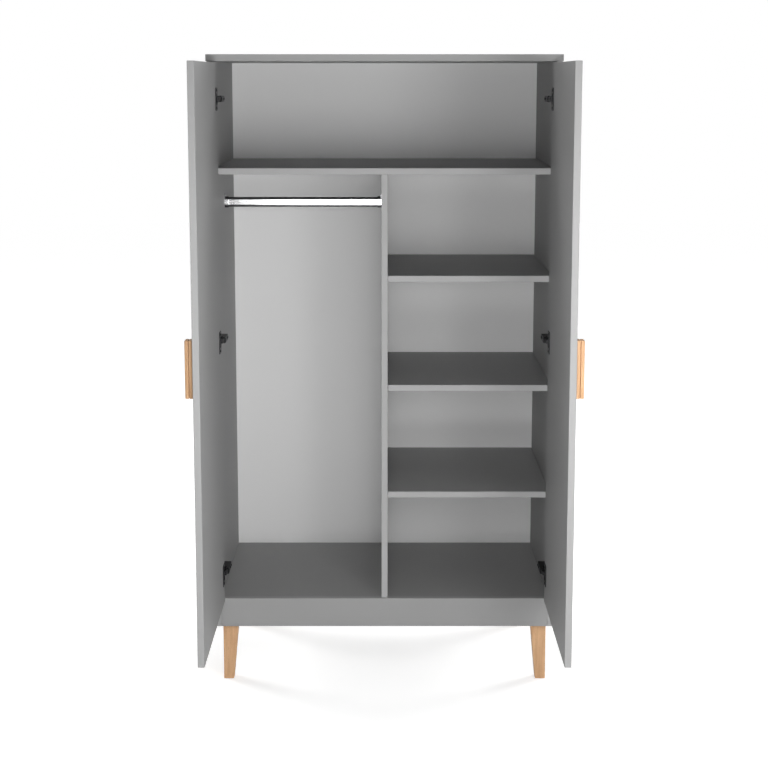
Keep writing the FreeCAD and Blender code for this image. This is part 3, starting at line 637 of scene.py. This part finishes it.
# Cup hinges: plates and channel arms on the sides, arched links, and cups let into the doors.
# Pressed and cast steel in black nickel; the screws that set the arm show their cross slots.
NICKEL_DARK = (0.018, 0.018, 0.019)
NICKEL_LIGHT = (0.034, 0.034, 0.036)
NICKEL_ROUGHNESS = (0.36, 0.50)
NICKEL_BUMPS = 0.05
black_nickel = metal("black_nickel", NICKEL_DARK, NICKEL_LIGHT, NICKEL_ROUGHNESS, NICKEL_BUMPS)
for node in ("hinge_plate_screws", "hinge_adjusting_screws", "hinge_arm_pins"):
    dress(node, black_nickel)
for hand in ("left", "right"):
    for part in ("plates", "arms", "links", "cup_pins", "cup_screws"):
        dress(f"hinge_{part}_{hand}", black_nickel)


# Hinge cups: deep-drawn steel cups in black nickel, each with a broad round-cornered flange at its mouth.
# The cup is pressed into the door's bore, and a screw through each end of the flange holds it.
CUP_RADIUS = 0.0175
CUP_WALL = 0.0012
CUP_FLOOR = 0.0008
CUP_RIM_RADIUS = 0.019
FLANGE_THICK = 0.0016
FLANGE_ROUND = 0.007
FLANGE_EASE = 0.0003
FLANGE_STEPS = 8


def new_ring(shape, radius, height):
    """The edges of a new round loop."""
    points = bmesh.ops.create_circle(shape, segments=2 * ROUND_SIDES, radius=radius)["verts"]
    bmesh.ops.translate(shape, verts=points, vec=(0, 0, height))
    return list({edge for point in points for edge in point.link_edges})


def cup_shape(low, high, inward):
    """A cup with its flange, in the box of the frame's cup, open to the inside of the wardrobe."""
    spans = high - low
    bore = CUP_RADIUS - CUP_WALL
    shape = bmesh.new()
    plate = bmesh.ops.create_grid(shape, x_segments=1, y_segments=1, size=0.5)["verts"]
    bmesh.ops.scale(shape, verts=plate, vec=(spans.z, spans.y, 1))
    bmesh.ops.translate(shape, verts=plate, vec=(0, CUP_RIM_RADIUS - spans.y / 2, 0))
    bmesh.ops.bevel(shape, geom=plate, offset=FLANGE_ROUND, segments=FLANGE_STEPS, profile=0.5,
                    affect="VERTICES", material=-1)
    bmesh.ops.delete(shape, geom=list(shape.faces), context="FACES_ONLY")
    brim = list(shape.edges)
    mouth = new_ring(shape, bore, 0)
    bmesh.ops.bridge_loops(shape, edges=brim + mouth)
    draw_down(shape, mouth, bore, [(bore, spans.x - CUP_FLOOR)])
    made = bmesh.ops.extrude_edge_only(shape, edges=brim)
    bmesh.ops.translate(shape, verts=moved_points(made), vec=(0, 0, -FLANGE_THICK))
    under = [edge for edge in shape.edges if edge.is_boundary]
    neck = new_ring(shape, CUP_RADIUS, -FLANGE_THICK)
    bmesh.ops.bridge_loops(shape, edges=under + neck)
    draw_down(shape, neck, CUP_RADIUS, [(CUP_RADIUS, spans.x - FLANGE_THICK)])
    bmesh.ops.recalc_face_normals(shape, faces=shape.faces)
    bmesh.ops.bevel(shape, geom=brim + mouth, offset=FLANGE_EASE, segments=2, profile=0.5,
                    affect="EDGES", material=-1)
    cup_way = Matrix(((0, 0, inward), (0, 1, 0), (1, 0, 0))).to_4x4()
    face = Vector((high.x if inward > 0 else low.x, high.y - CUP_RIM_RADIUS, (low.z + high.z) / 2))
    bmesh.ops.transform(shape, matrix=Matrix.Translation(face) @ cup_way, verts=shape.verts)
    bmesh.ops.recalc_face_normals(shape, faces=shape.faces)
    return shape


for hand, outward in OUTWARD.items():
    node = f"hinge_cups_{hand}"
    cups = join(cup_shape(low, high, -outward) for low, high in separate_boxes(node))
    new_piece(f"cups_{hand}", cups, black_nickel, f"door_{hand}", "dark_hinge_steel", node)


# Studio floor: a wide sheet of pale paper under the wardrobe.
# It shows white, as in the photograph, and keeps the wardrobe's soft shadow, deepened by painted shade close
# round the wardrobe.
FLOOR_HALF = 14
FLOOR_NEAR = 0.9
FLOOR_FAR = 3.0
FLOOR_SHOWN = (0.6, 0.98)
PAPER_GREY = 0.80
PAPER_ROUGHNESS = 0.9


def looked_at(tree):
    """One for rays that show a thing to the camera, straight, in a mirror or through glass."""
    rays = add(tree, "LightPath").outputs
    seen = reckon(tree, "MAXIMUM", rays["Is Camera Ray"], rays["Is Glossy Ray"])
    return reckon(tree, "MAXIMUM", seen, rays["Is Transmission Ray"])


paper, tree, shader = new_finish("floor_paper")
shader.inputs["Base Color"].default_value = (PAPER_GREY, PAPER_GREY, PAPER_GREY, 1)
shader.inputs["Roughness"].default_value = PAPER_ROUGHNESS
shader.inputs["Specular IOR Level"].default_value = 0
shader.inputs["Emission Color"].default_value = (1, 1, 1, 1)
on_floor = place_on_piece(tree)
away_squared = reckon_points(tree, "DOT_PRODUCT", on_floor, on_floor)
# Painted shade: the brightness shown to the camera is 0.6 within 0.9 m of the middle and rises to 0.98 at 3
# m, so the floor near the wardrobe shows darker than its light alone makes it.
shown = spread(tree, away_squared, (FLOOR_NEAR ** 2, FLOOR_FAR ** 2), FLOOR_SHOWN)
tree.links.new(reckon(tree, "MULTIPLY", looked_at(tree), shown), shader.inputs["Emission Strength"])
floor_shape = bmesh.new()
bmesh.ops.create_grid(floor_shape, x_segments=1, y_segments=1, size=FLOOR_HALF)
floor_mesh = bpy.data.meshes.new("floor")
floor_shape.to_mesh(floor_mesh)
floor_shape.free()
floor_mesh.materials.append(paper)
floor = bpy.data.objects.new("floor", floor_mesh)
bpy.context.scene.collection.objects.link(floor)


# Studio light: a dim white room, with soft boxes near and far in front of the wardrobe and on both sides.
# Two more stand behind its corners and one hangs above, and they light only its outside.
# Each soft box has its place, what it faces, its width and height, and its power in watts.
ROOM_LEVEL = 0.02
ROOM_SHOWN = 1
SOFT_BOXES = {
    "right_box": ((4.2, -1.4, 1.3), (0, 0.1, 1.0), 1.1, 1.1, 28),
    "left_box": ((-4.2, -1.4, 1.3), (0, 0.1, 1.0), 1.1, 1.1, 10),
    "near_box": ((0, -1.5, 1.3), (0, 0.1, 1.0), 0.9, 0.8, 8),
    "far_box": ((0, -5.5, 1.3), (0, 0.1, 1.0), 0.8, 1.2, 24),
    "front_right_box": ((1.0, -2.2, 1.25), (0, 0.1, 1.0), 0.5, 0.9, 12),
    "half_right_box": ((1.9, -2.4, 1.25), (0, 0.1, 1.0), 0.5, 0.9, 5),
    "low_box": ((0, -2.4, 0.2), (0, 0.1, 0.7), 0.9, 0.3, 8),
    "rear_left_box": ((-3.6, 2.2, 1.6), (0, 0.2, 1.0), 1.4, 1.4, 108),
    "rear_right_box": ((3.6, 2.2, 1.6), (0, 0.2, 1.0), 1.4, 1.4, 115),
    "top_box": ((0, 1.0, 3.9), (0, 0.25, 1.85), 1.0, 0.6, 45),
}
room = bpy.data.worlds.new("room")
bpy.context.scene.world = room
room.use_nodes = True
tree = room.node_tree
room_out = next(n for n in tree.nodes if n.type == "OUTPUT_WORLD")
room_light = next(n for n in tree.nodes if n.type == "BACKGROUND")
room_light.inputs["Color"].default_value = (1, 1, 1, 1)
room_light.inputs["Strength"].default_value = ROOM_LEVEL
room_seen = add(tree, "Background", Color=(1, 1, 1, 1), Strength=ROOM_SHOWN)
either = add(tree, "MixShader")
tree.links.new(looked_at(tree), either.inputs["Fac"])
tree.links.new(room_light.outputs[0], either.inputs[1])
tree.links.new(room_seen.outputs[0], either.inputs[2])
tree.links.new(either.outputs[0], room_out.inputs["Surface"])
for name, (at, aim, wide, tall, watts) in SOFT_BOXES.items():
    lamp = bpy.data.lights.new(name, "AREA")
    lamp.shape = "RECTANGLE"
    lamp.size, lamp.size_y, lamp.energy = wide, tall, watts
    box = bpy.data.objects.new(name, lamp)
    box.location = at
    box.rotation_euler = (Vector(aim) - Vector(at)).to_track_quat("-Z", "Y").to_euler()
    box.visible_camera = False
    bpy.context.scene.collection.objects.link(box)


# Camera: straight on, near the height of the top and tilted a little down.
# Its lens is shifted down as well, so that the uprights stay nearly upright.
TILT = math.radians(8)
camera = bpy.data.objects.new("camera", bpy.data.cameras.new("camera"))
camera.data.sensor_width = 36
camera.data.lens = 68.66
camera.data.shift_y = -0.1286
camera.location = (-0.00155, -4.167, 1.7775)
camera.rotation_euler = (math.pi / 2 - TILT, 0, 0)
bpy.context.scene.collection.objects.link(camera)
bpy.context.scene.camera = camera
bpy.context.scene.view_settings.view_transform = "Standard"
